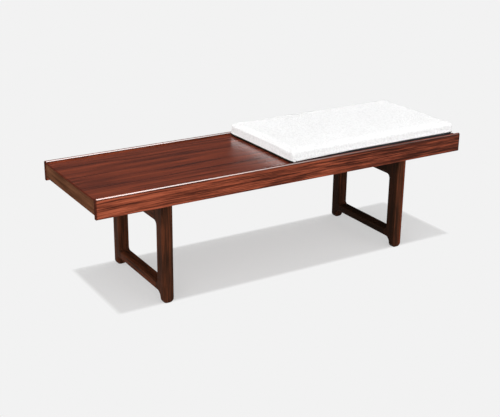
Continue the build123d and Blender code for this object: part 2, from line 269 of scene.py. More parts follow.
@dataclass(frozen=True)
class RosewoodFinish:
    """Streaked dark red wood under lacquer or oil.

    The figure is in streaks per metre: broad and fine are counts across the grain, and reach is the count
    along it. The lean says how the growth layers tilt through the plank. Pairs named counts are along and
    across the grain, pairs named step are the ends of a smooth step, and places and heights are in metres.
    """

    name: str
    axis: GrainAxis
    stops: Stops
    lean: Span = (1.0, 0.8)
    broad: float = 60.0
    fine: float = 260.0
    reach: float = 5.0
    fleck: float = 1.6
    shift: float = 0.0
    drift: float = 0.03
    drift_counts: Span = (1.7, 4.0)
    fine_shift: float = 5.0
    fine_share: float = 0.42
    spread: Span = (0.30, 0.70)
    # Painted shade: the figure darkens along the grain by this much per metre, standing in for light falling
    # off towards the far end
    painted_falloff: float = 0.0
    line_shift: float = 9.0
    line_counts: Span = (0.9, 0.75)
    line_step: Span = (0.54, 0.66)
    line_depth: float = 0.36
    pore_counts: Span = (55.0, 1500.0)
    pore_step: Span = (0.58, 0.74)
    pore_depth: float = 0.35
    end_step: Span = (0.5, 0.9)
    end_shade: float = 0.0
    rim_start: float | None = None
    rim_edge: float = 0.002
    rim_shade: float = 0.8
    # Painted shade: faces that look towards -x are darkened
    painted_side_step: Span = (0.35, 0.75)
    painted_side_shade: float = 0.0
    # Painted highlight: a lighter, redder strip at one corner of a leg
    painted_highlight: Colour = (0.42, 0.085, 0.034)
    painted_highlight_corner: Span | None = None
    painted_highlight_edges: Span = (0.002, 0.004)
    painted_highlight_least: float = 0.60
    polish_height: Span | None = None
    polish_end: Span = (0.3422, 0.3427)
    # Painted shade: a dark line just under the polished bevel, and darker up-facing flat tops
    painted_line_below: Span = (0.004, 0.002)
    painted_line_shade: float = 0.55
    painted_top_step: Span = (0.93, 0.97)
    painted_top_shade: float = 0.6
    roughness: float = 0.38
    haze_counts: Span = (6.0, 40.0)
    haze_roughness: float = 0.10
    pore_roughness: float = 0.12
    matt_roughness: float = 0.5
    mirror: float = 0.25
    gloss: float = 0.3
    gloss_roughness: float = 0.15
    gloss_index: float = 1.5
    line_relief: float = 0.3
    relief: Span = (0.00012, 0.6)

    def material(self) -> bpy.types.Material:
        """Builds the wood.

        Returns:
            The material.
        """
        material, graph = new_material(self.name)
        texture = graph.node("ShaderNodeTexCoord")
        place = graph.axes(texture.out("Object"))
        facing = graph.axes(texture.out("Normal"))
        grain = tuple(place[index] for index in self.axis.value)
        figure, lines = self._figure(graph, grain)
        pores = graph.noise(graph.stretched(grain, self.pore_counts), roughness=0.6).step(*self.pore_step)
        wear_and_painted_shade, matt = self._dark_marks_and_painted_shade(place, facing, pores)
        lit = graph.ramp(figure, self.stops)
        # Painted highlight on one leg corner
        if self.painted_highlight_corner is not None:
            lit = graph.mix(self._painted_highlight(place, lines), lit, rgba(self.painted_highlight))
        haze = graph.noise(graph.stretched(grain, self.haze_counts), detail=3.0)
        texture_roughness = (haze - 0.5) * self.haze_roughness + pores * self.pore_roughness
        graph.surface({
            # The darkest colour here also stands for painted shade
            "Base Color": graph.mix(wear_and_painted_shade, lit, rgba(self.stops[0][1])),
            "Roughness": self.roughness + texture_roughness + matt * self.matt_roughness,
            "Specular IOR Level": self.mirror,
            "Coat Weight": (1.0 - matt) * self._polish(place),
            "Coat Roughness": self.gloss_roughness,
            "Coat IOR": self.gloss_index,
            "Normal": graph.bump(lines * self.line_relief - pores, self.relief),
        })
        return material

    def _figure(self, graph: NodeGraph, grain: Axes) -> tuple[Signal, Signal]:
        """The streaks of the wood.

        Args:
            graph: The material's graph.
            grain: The point along the grain, across it and in depth.

        Returns:
            The figure, from 0 for dark to 1 for light, and its fine lines.
        """
        along, across, depth = grain
        slow, quick = self.drift_counts
        drift = graph.noise(graph.point(along * slow + self.shift, across * quick, depth * quick), detail=3.0)
        layer = across * self.lean[0] + depth * self.lean[1] + drift * self.drift + self.shift
        bands = graph.noise(
            graph.point(along * self.reach, layer * self.broad, self.shift), detail=4.0, roughness=0.62
        )
        lines = graph.noise(
            graph.point(along * self.reach * self.fleck, layer * self.fine, self.shift + self.fine_shift),
            detail=3.0,
            roughness=0.6,
        )
        slow, quick = self.line_counts
        dark = graph.noise(
            graph.point(along * self.reach * slow, layer * self.fine * quick, self.shift + self.line_shift),
            detail=3.0,
        ).step(*self.line_step)
        blend = (bands * (1.0 - self.fine_share) + lines * self.fine_share).step(*self.spread)
        # The painted falloff darkens the figure along the grain: painted shade
        return blend - along * self.painted_falloff - dark * self.line_depth, lines

    def _dark_marks_and_painted_shade(self, place: Axes, facing: Axes, pores: Signal) -> tuple[Signal, Signal]:
        """Where the wood is darkest, painted shade included, and where it has no polish.

        Args:
            place: The point in the shared frame.
            facing: The way that the surface faces.
            pores: The open pores.

        Returns:
            The share of the darkest colour, painted shade included, and the share without polish.
        """
        matt = abs(facing[self.axis.value[0]]).step(*self.end_step) * self.end_shade
        wear_and_painted_shade = matt.at_least(pores * self.pore_depth)
        if self.rim_start is not None:
            rim = abs(place[0]).step(self.rim_start, self.rim_start + self.rim_edge)
            wear_and_painted_shade = wear_and_painted_shade.at_least(rim * self.rim_shade)
            matt = rim.at_least(matt)
        # Painted shade: a dark line just under the polished bevel and darker flat top faces
        if self.polish_height is not None:
            far, near = (self.polish_height[0] - below for below in self.painted_line_below)
            line = place[2].step(far, near) * (1.0 - place[2].step(*self.polish_height))
            wear_and_painted_shade = wear_and_painted_shade.at_least(line * self.painted_line_shade)
            wear_and_painted_shade = wear_and_painted_shade.at_least(facing[2].step(*self.painted_top_step) * self.painted_top_shade)
        # Painted shade on faces that look towards -x
        if self.painted_side_shade:
            wear_and_painted_shade = wear_and_painted_shade.at_least((-facing[0]).step(*self.painted_side_step) * self.painted_side_shade)
        return wear_and_painted_shade, matt

    def _painted_highlight(self, place: Axes, lines: Signal) -> Signal:
        """The share of the painted highlight, a lighter red that fills the corner right of one place and in
        front of another.

        Args:
            place: The point in the shared frame.
            lines: The fine lines of the figure.

        Returns:
            The share, from 0 to 1.
        """
        right, front = self.painted_highlight_corner
        soft_right, soft_front = self.painted_highlight_edges
        corner = place[0].step(right, right + soft_right) * (1.0 - place[1].step(front - soft_front, front))
        return corner * (self.painted_highlight_least + lines * (1.0 - self.painted_highlight_least))

    def _polish(self, place: Axes) -> Signal | float:
        """The weight of the polish, which is full on a bevel between two heights where there is one.

        Args:
            place: The point in the shared frame.

        Returns:
            The weight, from 0 to 1.
        """
        if self.polish_height is None:
            return self.gloss
        bevel = place[2].step(*self.polish_height) * (1.0 - place[2].step(*self.polish_end))
        return self.gloss + bevel * (1.0 - self.gloss)


@dataclass(frozen=True)
class BareWoodFinish:
    """Unfinished pale or plain wood, with soft grain lines."""

    name: str
    axis: GrainAxis
    light: Colour
    dark: Colour
    lines: float = 160.0
    tilt: float = 0.6
    drift: float = 5.0
    drift_counts: Span = (2.0, 6.0)
    spread: Span = (0.3, 0.72)
    fibre_counts: Span = (60.0, 1400.0)
    roughness: float = 0.62
    fibre_roughness: float = 0.16
    line_relief: float = 0.5
    relief: Span = (0.00015, 0.5)

    def material(self) -> bpy.types.Material:
        """Builds the wood.

        Returns:
            The material.
        """
        material, graph = new_material(self.name)
        parts = graph.axes(graph.place())
        grain = tuple(parts[index] for index in self.axis.value)
        drift = graph.noise(graph.stretched(grain, self.drift_counts))
        layer = (grain[1] + grain[2] * self.tilt) * self.lines + drift * self.drift
        rings = graph.line_noise(layer, detail=3.0, roughness=0.6).step(*self.spread)
        fibre = graph.noise(graph.stretched(grain, self.fibre_counts))
        graph.surface({
            "Base Color": graph.mix(rings, rgba(self.light), rgba(self.dark)),
            "Roughness": self.roughness + (fibre - 0.5) * self.fibre_roughness,
            "Normal": graph.bump(rings * self.line_relief + fibre, self.relief),
        })
        return material


@dataclass(frozen=True)
class BlackBoardFinish:
    """Thin black paint over a smooth board, a little dusty."""

    name: str = "black_painted_board"
    deep: Colour = (0.010, 0.010, 0.012)
    # The lighter colour where the black paint is worn and dusty
    wear_and_painted_shade: Colour = (0.030, 0.032, 0.038)
    cloud_counts: Span = (14.0, 40.0)
    cloud_step: Span = (0.35, 0.75)
    peel_count: float = 420.0
    roughness: float = 0.46
    cloud_roughness: float = 0.2
    peel_roughness: float = 0.1
    relief: Span = (0.00012, 0.7)

    def material(self) -> bpy.types.Material:
        """Builds the paint.

        Returns:
            The material.
        """
        material, graph = new_material(self.name)
        place = graph.place()
        x, y, z = graph.axes(place)
        flat, tall = self.cloud_counts
        cloud = graph.noise(graph.point(x * flat, y * flat, z * tall), detail=4.0)
        peel = graph.noise(graph.scaled(place, self.peel_count))
        graph.surface({
            "Base Color": graph.mix(cloud.step(*self.cloud_step), rgba(self.deep), rgba(self.wear_and_painted_shade)),
            "Roughness": self.roughness + cloud * self.cloud_roughness - peel * self.peel_roughness,
            "Normal": graph.bump(peel, self.relief),
        })
        return material


@dataclass(frozen=True)
class MetalFinish:
    """Small turned hardware, plated or plain."""

    name: str
    light: Colour
    dark: Colour
    roughness: float
    turning_counts: Span = (90.0, 2600.0)
    stain_count: float = 240.0
    stain_step: Span = (0.35, 0.75)
    stain_roughness: float = 0.2
    relief: Span = (0.00005, 0.5)

    def material(self) -> bpy.types.Material:
        """Builds the metal.

        Returns:
            The material.
        """
        material, graph = new_material(self.name)
        place = graph.place()
        x, y, z = graph.axes(place)
        flat, tall = self.turning_counts
        turning = graph.noise(graph.point(x * flat, y * flat, z * tall))
        stain = graph.noise(graph.scaled(place, self.stain_count), detail=3.0)
        graph.surface({
            "Base Color": graph.mix(stain.step(*self.stain_step), rgba(self.light), rgba(self.dark)),
            "Metallic": 1.0,
            "Roughness": self.roughness + (stain - 0.5) * self.stain_roughness,
            "Normal": graph.bump(turning, self.relief),
        })
        return material


@dataclass(frozen=True)
class WovenWoolFinish:
    """Close white wool weave with soft loops, laid on from three sides by the way the cloth faces.

    The lowest edge is painted dark as shade of the gap under the cushion, up to one height at the front and
    another at the ends.
    """

    name: str = "white_wool_weave"
    thread: float = 0.0021
    wobble: float = 2.2
    wobble_count: float = 90.0
    over_step: Span = (-0.35, 0.35)
    facing_step: Span = (0.55, 0.80)
    loop_count: float = 170.0
    loop_step: Span = (0.34, 0.66)
    slub_count: float = 28.0
    height_shares: Span = (0.35, 0.8)
    tone_shares: tuple[float, float, float] = (0.3, 0.7, 0.3)
    tone_step: Span = (0.10, 1.00)
    light: Colour = (0.985, 0.985, 0.985)
    shaded_hollow: Colour = (0.88, 0.88, 0.88)
    # Painted shade: the dark colour of the lowest edge, for the gap under the cushion
    under: Colour = (0.016, 0.016, 0.014)
    gap_shade_front: float = 0.3400
    gap_shade_sides: float = 0.3438
    gap_shade_step: Span = (-0.0003, 0.0003)
    roughness: float = 0.86
    loop_roughness: float = 0.12
    relief: Span = (0.0014, 0.9)

    def material(self) -> bpy.types.Material:
        """Builds the cloth.

        Returns:
            The material.
        """
        material, graph = new_material(self.name)
        texture = graph.node("ShaderNodeTexCoord")
        place = texture.out("Object")
        height_above = graph.axes(place)[2]
        facing = graph.axes(texture.out("Normal"))
        to_top = abs(facing[2]).step(*self.facing_step)
        to_side = abs(facing[0]).step(*self.facing_step)
        weave = self._weave(graph, place, to_top, to_side)
        loops = graph.noise(graph.scaled(place, self.loop_count), detail=3.0, roughness=0.6)
        slub = graph.noise(graph.scaled(place, self.slub_count), detail=3.0)
        curl = loops.step(*self.loop_step)
        height = weave * self.height_shares[0] + curl * self.height_shares[1]
        woven, curled, slubbed = self.tone_shares
        tone = (weave * woven + curl * curled + slub * slubbed).step(*self.tone_step)
        # Darker where the weave and loops lie low: painted shade in the hollows, with random slub tone
        cloth = graph.mix(tone, rgba(self.shaded_hollow), rgba(self.light))
        # Painted shade: the lowest edge is dark, standing in for the gap under the cushion
        gap_shade_top = self.gap_shade_front + to_side * (self.gap_shade_sides - self.gap_shade_front)
        above = (height_above - gap_shade_top).step(*self.gap_shade_step)
        graph.surface({
            "Base Color": graph.mix(above, rgba(self.under), cloth),
            "Roughness": self.roughness + loops * self.loop_roughness,
            "Diffuse Roughness": 1.0,
            "Specular IOR Level": 0.1,
            "Normal": graph.bump(height, self.relief),
        })
        return material

    def _weave(self, graph: NodeGraph, place: Signal, to_top: Signal, to_side: Signal) -> Signal:
        """The weave on the side of the cushion that a point lies on.

        Args:
            graph: The material's graph.
            place: The point on the cushion.
            to_top: How far the cloth faces up or down.
            to_side: How far it faces along the bench.

        Returns:
            The height of the threads, from 0 in the hollows to 1.
        """
        wobble = graph.noise(graph.scaled(place, self.wobble_count))
        lengthwise, crosswise, upright = (
            (value * (math.pi / self.thread) + wobble * self.wobble).sine() for value in graph.axes(place)
        )
        top = self._crossing(lengthwise, crosswise)
        front = self._crossing(lengthwise, upright)
        side = self._crossing(crosswise, upright)
        return top * to_top + (1.0 - to_top) * (side * to_side + front * (1.0 - to_side))

    def _crossing(self, first: Signal, second: Signal) -> Signal:
        """Plain weave of two sets of threads, from 0 in the hollows to 1."""
        over = (first * second).step(*self.over_step)
        return abs(first) * over + abs(second) * (1.0 - over)


@dataclass(frozen=True)
class FloorFinish:
    """Plain pale studio floor that takes a soft shadow inside the outline of the photograph's."""

    name: str = "studio_floor"
    tone: Colour = (0.888, 0.888, 0.888)
    even_share: float = 0.50
    shadow_low: Span = (-0.537, -0.154)
    shadow_high: Span = (0.612, 0.174)
    shadow_edge: float = 0.010

    def material(self) -> bpy.types.Material:
        """Builds the floor.

        Returns:
            The material.
        """
        material, graph = new_material(self.name)
        path = graph.node("ShaderNodeLightPath")
        seen = path.out("Is Camera Ray").at_least(path.out("Is Glossy Ray"))
        seen = seen.at_least(path.out("Is Transmission Ray"))
        outside = 1.0 - self._shadow_field(graph)
        share = seen * (self.even_share + outside * (1.0 - self.even_share))
        matt = graph.node("ShaderNodeBsdfDiffuse", None, {"Color": rgba(self.tone)})
        even = graph.node("ShaderNodeEmission", None, {"Color": rgba(self.tone), "Strength": 1.0})
        shader = graph.node("ShaderNodeMixShader", None, {0: share, 1: matt, 2: even})
        graph.node("ShaderNodeOutputMaterial", None, {"Surface": shader})
        return material

    def _shadow_field(self, graph: NodeGraph) -> Signal:
        """The part of the floor that shows the shadow.

        Args:
            graph: The floor's graph.

        Returns:
            A field that is 1 inside the outline and 0 outside.
        """
        shown = 1.0
        edge = self.shadow_edge
        for place, low, high in zip(graph.axes(graph.place()), self.shadow_low, self.shadow_high):
            shown = shown * place.step(low - edge, low + edge) * (1.0 - place.step(high - edge, high + edge))
        return shown


def dress(*groups: tuple[tuple[str, ...], Finish]) -> None:
    """Gives CAD nodes their finish and logs them.

    Args:
        groups: The nodes that share a material, with its finish.
    """
    for nodes, finish in groups:
        material = finish.material()
        for node in nodes:
            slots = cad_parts[node].data.materials
            slots.clear()
            slots.append(material)
            log.info("%s dressed in %s", node, material.name)


RAIL_STOPS: Stops = (
    (0.00, (0.032, 0.0085, 0.0048)),
    (0.35, (0.126, 0.0290, 0.0150)),
    (0.65, (0.285, 0.0650, 0.0310)),
    (1.00, (0.440, 0.1080, 0.0520)),
)
TOP_STOPS: Stops = (
    (0.00, (0.072, 0.0110, 0.0040)),
    (0.40, (0.186, 0.0300, 0.0100)),
    (0.70, (0.268, 0.0460, 0.0155)),
    (1.00, (0.390, 0.0720, 0.0260)),
)
END_STOPS: Stops = (
    (0.00, (0.060, 0.0240, 0.0125)),
    (0.45, (0.118, 0.0480, 0.0250)),
    (1.00, (0.205, 0.0850, 0.0440)),
)
LEG_STOPS: Stops = (
    (0.00, (0.014, 0.0066, 0.0036)),
    (0.50, (0.037, 0.0145, 0.0078)),
    (1.00, (0.115, 0.0340, 0.0155)),
)
LEG_WOOD = RosewoodFinish(
    "leg_rosewood", GrainAxis.UPRIGHT, LEG_STOPS, lean=(1.0, 0.7), broad=90.0, fine=330.0, reach=6.0,
    spread=(0.20, 0.68), roughness=0.55, mirror=0.02, gloss=0.0, shift=0.9,
)
BAR_WOOD = RosewoodFinish(
    "left_bar_rosewood", GrainAxis.CROSS, LEG_STOPS, lean=(0.8, 1.0), broad=70.0, fine=280.0, reach=6.0,
    spread=(0.16, 0.60), roughness=0.55, mirror=0.02, gloss=0.0, shift=3.3,
)
BEECH = BareWoodFinish("cross_dowel_beech", GrainAxis.CROSS, (0.64, 0.48, 0.32), (0.52, 0.37, 0.23))


@dataclass
class TopTray:
    """The long top: side rails, end rails, veneered core and the joinery inside."""

    rails: tuple[str, ...] = ("front_rail", "back_rail")
    ends: tuple[str, ...] = ("left_end_rail", "right_end_rail")
    show_face: tuple[str, ...] = ("top_veneer",)
    underside: tuple[str, ...] = ("underside_veneer",)
    hidden: tuple[str, ...] = ("top_core", "front_tongue", "back_tongue")
    cross_dowels: tuple[str, ...] = ("corner_dowels",)
    long_dowels: tuple[str, ...] = ("lipping_dowels",)
    # Painted shade on the rails: darker along their length, a dark line under the polished bevel and darker
    # flat tops
    rail_finish: RosewoodFinish = RosewoodFinish(
        "rail_rosewood", GrainAxis.LENGTH, RAIL_STOPS, lean=(0.9, 1.0), broad=230.0, fine=620.0, reach=6.0,
        fleck=3.0, line_depth=0.40, spread=(0.32, 0.69), drift=0.006, shift=0.4, painted_falloff=0.34,
        roughness=0.40, mirror=0.04, gloss=0.0, gloss_roughness=0.07, gloss_index=2.2,
        polish_height=(0.3402, 0.3409), end_shade=0.9, rim_start=0.5975,
    )
    top_finish: RosewoodFinish = RosewoodFinish(
        "top_rosewood", GrainAxis.LENGTH, TOP_STOPS, lean=(1.0, 0.3), broad=55.0, fine=240.0, reach=3.0,
        line_depth=0.20, spread=(0.31, 0.69), shift=1.7,
        roughness=0.36, mirror=0.15, gloss=1.0, gloss_roughness=0.26, gloss_index=2.6, rim_start=0.5945,
    )
    end_finish: RosewoodFinish = RosewoodFinish(
        "end_rosewood", GrainAxis.CROSS, END_STOPS, lean=(1.0, 1.0), broad=70.0, fine=260.0, reach=7.0,
        spread=(0.2, 0.8), roughness=0.60, mirror=0.0, gloss=0.0, shift=2.9,
    )
    under_finish: BareWoodFinish = BareWoodFinish(
        "underside_veneer_wood", GrainAxis.LENGTH, (0.22, 0.11, 0.062), (0.12, 0.055, 0.03), lines=90.0
    )
    core_finish: BareWoodFinish = BareWoodFinish(
        "core_softwood", GrainAxis.LENGTH, (0.60, 0.45, 0.28), (0.46, 0.31, 0.17)
    )
    cross_dowel_finish: BareWoodFinish = BEECH
    long_dowel_finish: BareWoodFinish = replace(BEECH, name="long_dowel_beech", axis=GrainAxis.LENGTH)

    def dress(self) -> None:
        """Finishes every piece of the top."""
        dress(
            (self.rails, self.rail_finish),
            (self.ends, self.end_finish),
            (self.show_face, self.top_finish),
            (self.underside, self.under_finish),
            (self.hidden, self.core_finish),
            (self.cross_dowels, self.cross_dowel_finish),
            (self.long_dowels, self.long_dowel_finish),
        )


@dataclass
class LegFrames:
    """Both leg frames with their joints and the bolts that hold them to the top."""

    left_legs: tuple[str, ...] = ("left_front_leg", "left_back_leg")
    right_legs: tuple[str, ...] = ("right_back_leg",)
    painted_highlight_legs: tuple[str, ...] = ("right_front_leg",)
    left_bars: tuple[str, ...] = ("left_stretcher", "left_bearer")
    right_bars: tuple[str, ...] = ("right_stretcher", "right_bearer")
    dowels: tuple[str, ...] = ("stretcher_dowels", "bearer_dowels")
    steel: tuple[str, ...] = ("frame_bolts", "bolt_washers")
    brass: tuple[str, ...] = ("bolt_inserts",)
    left_leg_finish: RosewoodFinish = LEG_WOOD
    # Painted shade: the right back leg gets a darker copy of the leg wood, with its -x faces darker still
    shaded_right_leg_finish: RosewoodFinish = replace(
        LEG_WOOD, name="shaded_right_leg_rosewood", spread=(0.26, 0.74), painted_side_shade=0.75
    )
    # Painted highlight: a lighter red on the right front corner, with painted shade on the -x faces
    painted_highlight_leg_finish: RosewoodFinish = replace(
        LEG_WOOD, name="highlit_leg_rosewood", spread=(0.20, 0.70), painted_side_shade=0.75,
        painted_highlight_corner=(0.4005, -0.161),
    )
    left_bar_finish: RosewoodFinish = BAR_WOOD
    # Painted shade: the right bars get a darker copy of the bar wood
    shaded_right_bar_finish: RosewoodFinish = replace(BAR_WOOD, name="shaded_right_bar_rosewood", spread=(0.42, 0.92))
    dowel_finish: BareWoodFinish = replace(BEECH, name="frame_dowel_beech")
    steel_finish: MetalFinish = MetalFinish("zinc_plate", (0.62, 0.63, 0.64), (0.44, 0.45, 0.47), 0.36)
    brass_finish: MetalFinish = MetalFinish("plain_brass", (0.72, 0.52, 0.22), (0.52, 0.36, 0.14), 0.34)

    def dress(self) -> None:
        """Finishes every piece of the frames."""
        dress(
            (self.left_legs, self.left_leg_finish),
            (self.right_legs, self.shaded_right_leg_finish),
            (self.painted_highlight_legs, self.painted_highlight_leg_finish),
            (self.left_bars, self.left_bar_finish),
            (self.right_bars, self.shaded_right_bar_finish),
            (self.dowels, self.dowel_finish),
            (self.steel, self.steel_finish),
            (self.brass, self.brass_finish),
        )


@dataclass
class SeatBase:
    """The black board that lies in the tray and carries the cushion."""

    nodes: tuple[str, ...] = ("base_board",)
    finish: BlackBoardFinish = BlackBoardFinish()

    def dress(self) -> None:
        """Finishes the board."""
        dress((self.nodes, self.finish))


@dataclass
class Cushion:
    """The loose box cushion: a crowned pad, swollen by a cloth simulation, with its two sewn edges.

    Lengths are in metres and turns in radians.
    """

    body: str = "cushion"
    nodes: tuple[str, ...] = ("cushion_foam", "cushion_bottom_cover", "cushion_border", "cushion_top_cover")
    corner_radius: float = 0.016
    side_draw: float = 0.001
    lower_round: float = 0.003
    upper_round: float = 0.006
    crown: float = 0.005
    mesh_step: float = 0.005
    edge_step: float = 0.003
    pressure: float = 4.0
    stretch_stiffness: float = 25.0
    bend_stiffness: float = 0.6
    frames: int = 20
    most_move: float = 0.004
    side_share: float = 0.4
    held_height: float = 0.0035
    seam_depth: float = 0.0004
    seam_reach: float = 0.0022
    seam_cuts: tuple[float, ...] = (-1.0, -0.45, 0.0, 0.45, 1.0)
    seam_join: float = 1e-6
    least_outward: float = 0.3
    end_sag: float = 0.0075
    sag_slope: float = 1.6
    rail_room: float = 0.003
    rail_fade: float = 0.004
    askew: float = 0.008
    end_skew: float = 0.015
    finish: WovenWoolFinish = WovenWoolFinish()
    low: Vector = field(init=False)
    high: Vector = field(init=False)
    seams: Span = field(init=False)

    def __post_init__(self) -> None:
        """Reads the cushion's place and its seams from the frame."""
        boxes = [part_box(node) for node in self.nodes[1:]]
        self.low = Vector(min(box[0][axis] for box in boxes) for axis in range(3))
        self.high = Vector(max(box[1][axis] for box in boxes) for axis in range(3))
        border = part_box("cushion_border")
        self.seams = (border[0].z, border[1].z)

    def build(self) -> bpy.types.Object:
        """Makes the cushion and hands it to the frame.

        Returns:
            The finished cushion.
        """
        pad = self._swell(self._blank())
        self._fit(pad)
        self._sew(pad)
        self._lay(pad)
        self._sag(pad)
        for polygon in pad.data.polygons:
            polygon.use_smooth = True
        pad.data.materials.append(self.finish.material())
        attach(pad, self.body)
        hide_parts(*self.nodes)
        log.info("%s built with %d points", pad.name, len(pad.data.vertices))
        return pad

    def _steps(self, length: float) -> list[float]:
        """Even places from -1 to 1 over a length."""
        count = max(2, round(length / self.mesh_step))
        return [-1.0 + 2.0 * index / count for index in range(count + 1)]

    def _shape(self, x: float, y: float, z: float) -> Vector:
        """A point of the pad from a point of a plain box.

        Args:
            x: Place along the box, from -1 to 1.
            y: Place across it, from -1 to 1.
            z: Height in it, from 0 to 1.

        Returns:
            The point with rounded corners and edges, drawn-in sides and the crown.
        """
        half = (self.high - self.low) / 2
        height = self.high.z - self.low.z - self.crown
        flat = Vector((x * half.x, y * half.y))
        core = Vector((
            max(-half.x + self.corner_radius, min(half.x - self.corner_radius, flat.x)),
            max(-half.y + self.corner_radius, min(half.y - self.corner_radius, flat.y)),
        ))
        off = (flat - core) / self.corner_radius
        off = Vector((off.x * math.sqrt(1 - off.y ** 2 / 2), off.y * math.sqrt(1 - off.x ** 2 / 2)))
        outward = off.normalized() if off.length > 0 else off
        inside = self.corner_radius * (1 - off.length) if off.length > 0 else self.corner_radius
        level = z * height
        for radius, top in ((self.upper_round, True), (self.lower_round, False)):
            near = level - (height - radius) if top else radius - level
            if off.length > 0 and inside < radius and near > 0:
                reach = Vector((1 - inside / radius, near / radius))
                reach = reach.normalized() * max(reach)
                inside = radius * (1 - reach.x)
                level = height - radius + radius * reach.y if top else radius - radius * reach.y
        plan = core + outward * (self.corner_radius - inside) if off.length > 0 else core
        share_x = plan.x / half.x
        share_y = plan.y / half.y
        drawn_x = plan.x * (1 - self.side_draw / half.x * (1 - share_y ** 2))
        drawn_y = plan.y * (1 - self.side_draw / half.y * (1 - share_x ** 2))
        rise = self.crown * (1 - share_x ** 2) * (1 - share_y ** 2) * level / height
        middle = (self.low + self.high) / 2
        return Vector((middle.x + drawn_x, middle.y + drawn_y, self.low.z + level + rise))

    def _blank(self) -> bpy.types.Object:
        """The pad before it is filled, as an even net of four-sided faces.

        Returns:
            The pad as an object.
        """
        size = self.high - self.low
        along = self._steps(size.x)
        across = self._steps(size.y)
        rows = max(2, round(size.z / self.edge_step))
        upright = [index / rows for index in range(rows + 1)]
        shape = bmesh.new()
        known: dict[Point, bmesh.types.BMVert] = {}

        def vertex(place: Point) -> bmesh.types.BMVert:
            """The net's vertex at a place of the box, made once."""
            if place not in known:
                known[place] = shape.verts.new(self._shape(*place))
            return known[place]

        def face(*places: Point) -> None:
            """One face between four places."""
            shape.faces.new([vertex(place) for place in places])

        for x0, x1 in zip(along, along[1:]):
            for y0, y1 in zip(across, across[1:]):
                face((x0, y0, 1.0), (x1, y0, 1.0), (x1, y1, 1.0), (x0, y1, 1.0))
                face((x0, y1, 0.0), (x1, y1, 0.0), (x1, y0, 0.0), (x0, y0, 0.0))
            for z0, z1 in zip(upright, upright[1:]):
                face((x0, -1.0, z0), (x1, -1.0, z0), (x1, -1.0, z1), (x0, -1.0, z1))
                face((x1, 1.0, z0), (x0, 1.0, z0), (x0, 1.0, z1), (x1, 1.0, z1))
        for y0, y1 in zip(across, across[1:]):
            for z0, z1 in zip(upright, upright[1:]):
                face((-1.0, y1, z0), (-1.0, y0, z0), (-1.0, y0, z1), (-1.0, y1, z1))
                face((1.0, y0, z0), (1.0, y1, z0), (1.0, y1, z1), (1.0, y0, z1))
        mesh = bpy.data.meshes.new("cushion_pad")
        shape.to_mesh(mesh)
        shape.free()
        pad = bpy.data.objects.new("cushion_pad", mesh)
        bpy.context.collection.objects.link(pad)
        return pad

    @staticmethod
    def _apply(piece: bpy.types.Object) -> None:
        """Turns a piece's modifiers into its mesh.

        Args:
            piece: The piece, whose modifiers go.
        """
        view = bpy.context.evaluated_depsgraph_get()
        made = bpy.data.meshes.new_from_object(piece.evaluated_get(view))
        piece.modifiers.clear()
        piece.data = made

    def _swell(self, pad: bpy.types.Object) -> bpy.types.Object:
        """Fills the cover and smooths its net.

        Args:
            pad: The pad as an even net.

        Returns:
            The same pad, swollen and smoothed.
        """
        self._simulate(pad)
        smooth = pad.modifiers.new("smooth_net", "SUBSURF")
        smooth.levels = 1
        smooth.render_levels = 1
        self._apply(pad)
        pad.vertex_groups.clear()
        return pad

    def _simulate(self, pad: bpy.types.Object) -> None:
        """Swells the cover by a short cloth simulation, with the underside held flat.

        Args:
            pad: The pad as an even net.
        """
        before = [vertex.co.copy() for vertex in pad.data.vertices]
        held = pad.vertex_groups.new(name="underside")
        flat = [index for index, point in enumerate(before) if point.z < self.low.z + self.held_height]
        held.add(flat, 1.0, "REPLACE")
        cloth = pad.modifiers.new("filling", "CLOTH")
        cloth.settings.use_pressure = True
        cloth.settings.uniform_pressure_force = self.pressure
        cloth.settings.vertex_group_mass = held.name
        cloth.settings.effector_weights.gravity = 0.0
        cloth.settings.tension_stiffness = self.stretch_stiffness
        cloth.settings.compression_stiffness = self.stretch_stiffness
        cloth.settings.bending_stiffness = self.bend_stiffness
        cloth.collision_settings.use_collision = False
        scene = bpy.context.scene
        for number in range(1, self.frames + 1):
            scene.frame_set(number)
        view = bpy.context.evaluated_depsgraph_get()
        swollen = [vertex.co.copy() for vertex in pad.evaluated_get(view).data.vertices]
        pad.modifiers.clear()
        scene.frame_set(1)
        for vertex, start, end in zip(pad.data.vertices, before, swollen):
            move = end - start
            move.x *= self.side_share
            move.y *= self.side_share
            if move.length > self.most_move:
                move = move.normalized() * self.most_move
            vertex.co = start + move

    def _fit(self, pad: bpy.types.Object) -> None:
        """Brings the pad to the size of the space that the frame keeps for it.

        Args:
            pad: The swollen pad.
        """
        points = [vertex.co for vertex in pad.data.vertices]
        low = Vector(min(point[axis] for point in points) for axis in range(3))
        high = Vector(max(point[axis] for point in points) for axis in range(3))
        for vertex in pad.data.vertices:
            vertex.co = Vector(
                self.low[axis] + (vertex.co[axis] - low[axis]) / (high[axis] - low[axis])
                * (self.high[axis] - self.low[axis])
                for axis in range(3)
            )

    def _sew(self, pad: bpy.types.Object) -> None:
        """Draws the cover in along its two sewn edges.

        Args:
            pad: The pad in its final size.
        """
        shape = bmesh.new()
        shape.from_mesh(pad.data)
        for seam in self.seams:
            for cut in self.seam_cuts:
                bmesh.ops.bisect_plane(
                    shape, geom=[*shape.verts, *shape.edges, *shape.faces], dist=self.seam_join,
                    plane_co=(0.0, 0.0, seam + cut * self.seam_reach), plane_no=(0.0, 0.0, 1.0),
                )
        shape.normal_update()
        moves = []
        for vertex in shape.verts:
            outward = Vector((vertex.normal.x, vertex.normal.y, 0.0))
            for seam in self.seams:
                away = abs(vertex.co.z - seam) / self.seam_reach
                if away < 1.0 and outward.length > self.least_outward:
                    moves.append((vertex, outward.normalized() * -self.seam_depth * (1 - away) ** 2))
        for vertex, move in moves:
            vertex.co += move
        shape.to_mesh(pad.data)
        shape.free()

